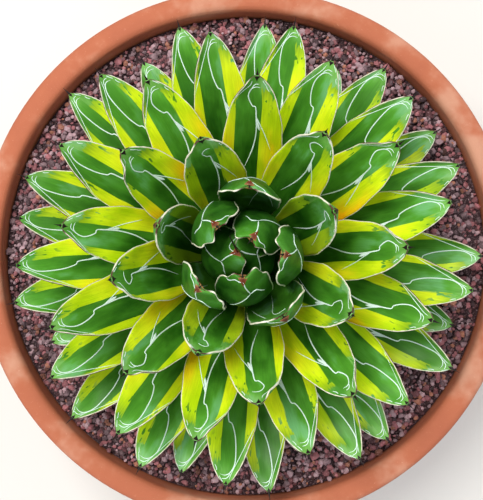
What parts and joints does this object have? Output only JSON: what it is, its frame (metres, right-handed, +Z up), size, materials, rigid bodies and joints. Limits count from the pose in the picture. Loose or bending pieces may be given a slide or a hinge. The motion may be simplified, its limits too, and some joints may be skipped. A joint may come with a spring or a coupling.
{
  "type": "potted agave",
  "caption": "Variegated rosette agave in a plain round terracotta bowl, with keeled, spine-tipped leaves in one spiral over a bed of reddish grit.",
  "frame": {"origin": "centre of the pot's foot, on the surface it stands on", "axes": "+Z up along the pot's axis; +X is the right of the picture and +Y its top"},
  "size_m": [0.384, 0.384, 0.3096],
  "materials": {
    "leaf": "satin leaf skin, green with yellow margins",
    "stem": "pale fibrous leaf scars",
    "grit": "rough volcanic grit",
    "soil": "crumbly potting soil",
    "terracotta": "unglazed fired clay"
  },
  "bodies": {
    "root": {"pot": "terracotta", "soil": "soil", "gravel": "grit", "stem": "stem", "heart": "leaf", "leaf_07": "leaf", "leaf_08": "leaf", "leaf_09": "leaf", "leaf_10": "leaf", "leaf_11": "leaf", "leaf_12": "leaf", "leaf_13": "leaf", "leaf_14": "leaf", "leaf_15": "leaf", "leaf_16": "leaf", "leaf_17": "leaf", "leaf_18": "leaf", "leaf_19": "leaf", "leaf_20": "leaf", "leaf_21": "leaf", "leaf_22": "leaf", "leaf_23": "leaf", "leaf_24": "leaf", "leaf_25": "leaf", "leaf_26": "leaf", "leaf_27": "leaf", "leaf_28": "leaf", "leaf_29": "leaf", "leaf_30": "leaf", "leaf_31": "leaf", "leaf_32": "leaf", "leaf_33": "leaf", "leaf_34": "leaf", "leaf_35": "leaf", "leaf_36": "leaf", "leaf_37": "leaf", "leaf_38": "leaf", "leaf_39": "leaf", "leaf_40": "leaf", "leaf_41": "leaf", "leaf_42": "leaf", "leaf_43": "leaf", "leaf_44": "leaf", "leaf_45": "leaf", "leaf_46": "leaf", "leaf_47": "leaf", "leaf_48": "leaf", "leaf_49": "leaf", "leaf_50": "leaf", "leaf_51": "leaf", "leaf_52": "leaf", "leaf_53": "leaf", "leaf_54": "leaf", "leaf_55": "leaf", "leaf_56": "leaf", "leaf_57": "leaf", "leaf_58": "leaf", "leaf_59": "leaf", "leaf_60": "leaf", "leaf_61": "leaf"}
  },
  "joints": []
}
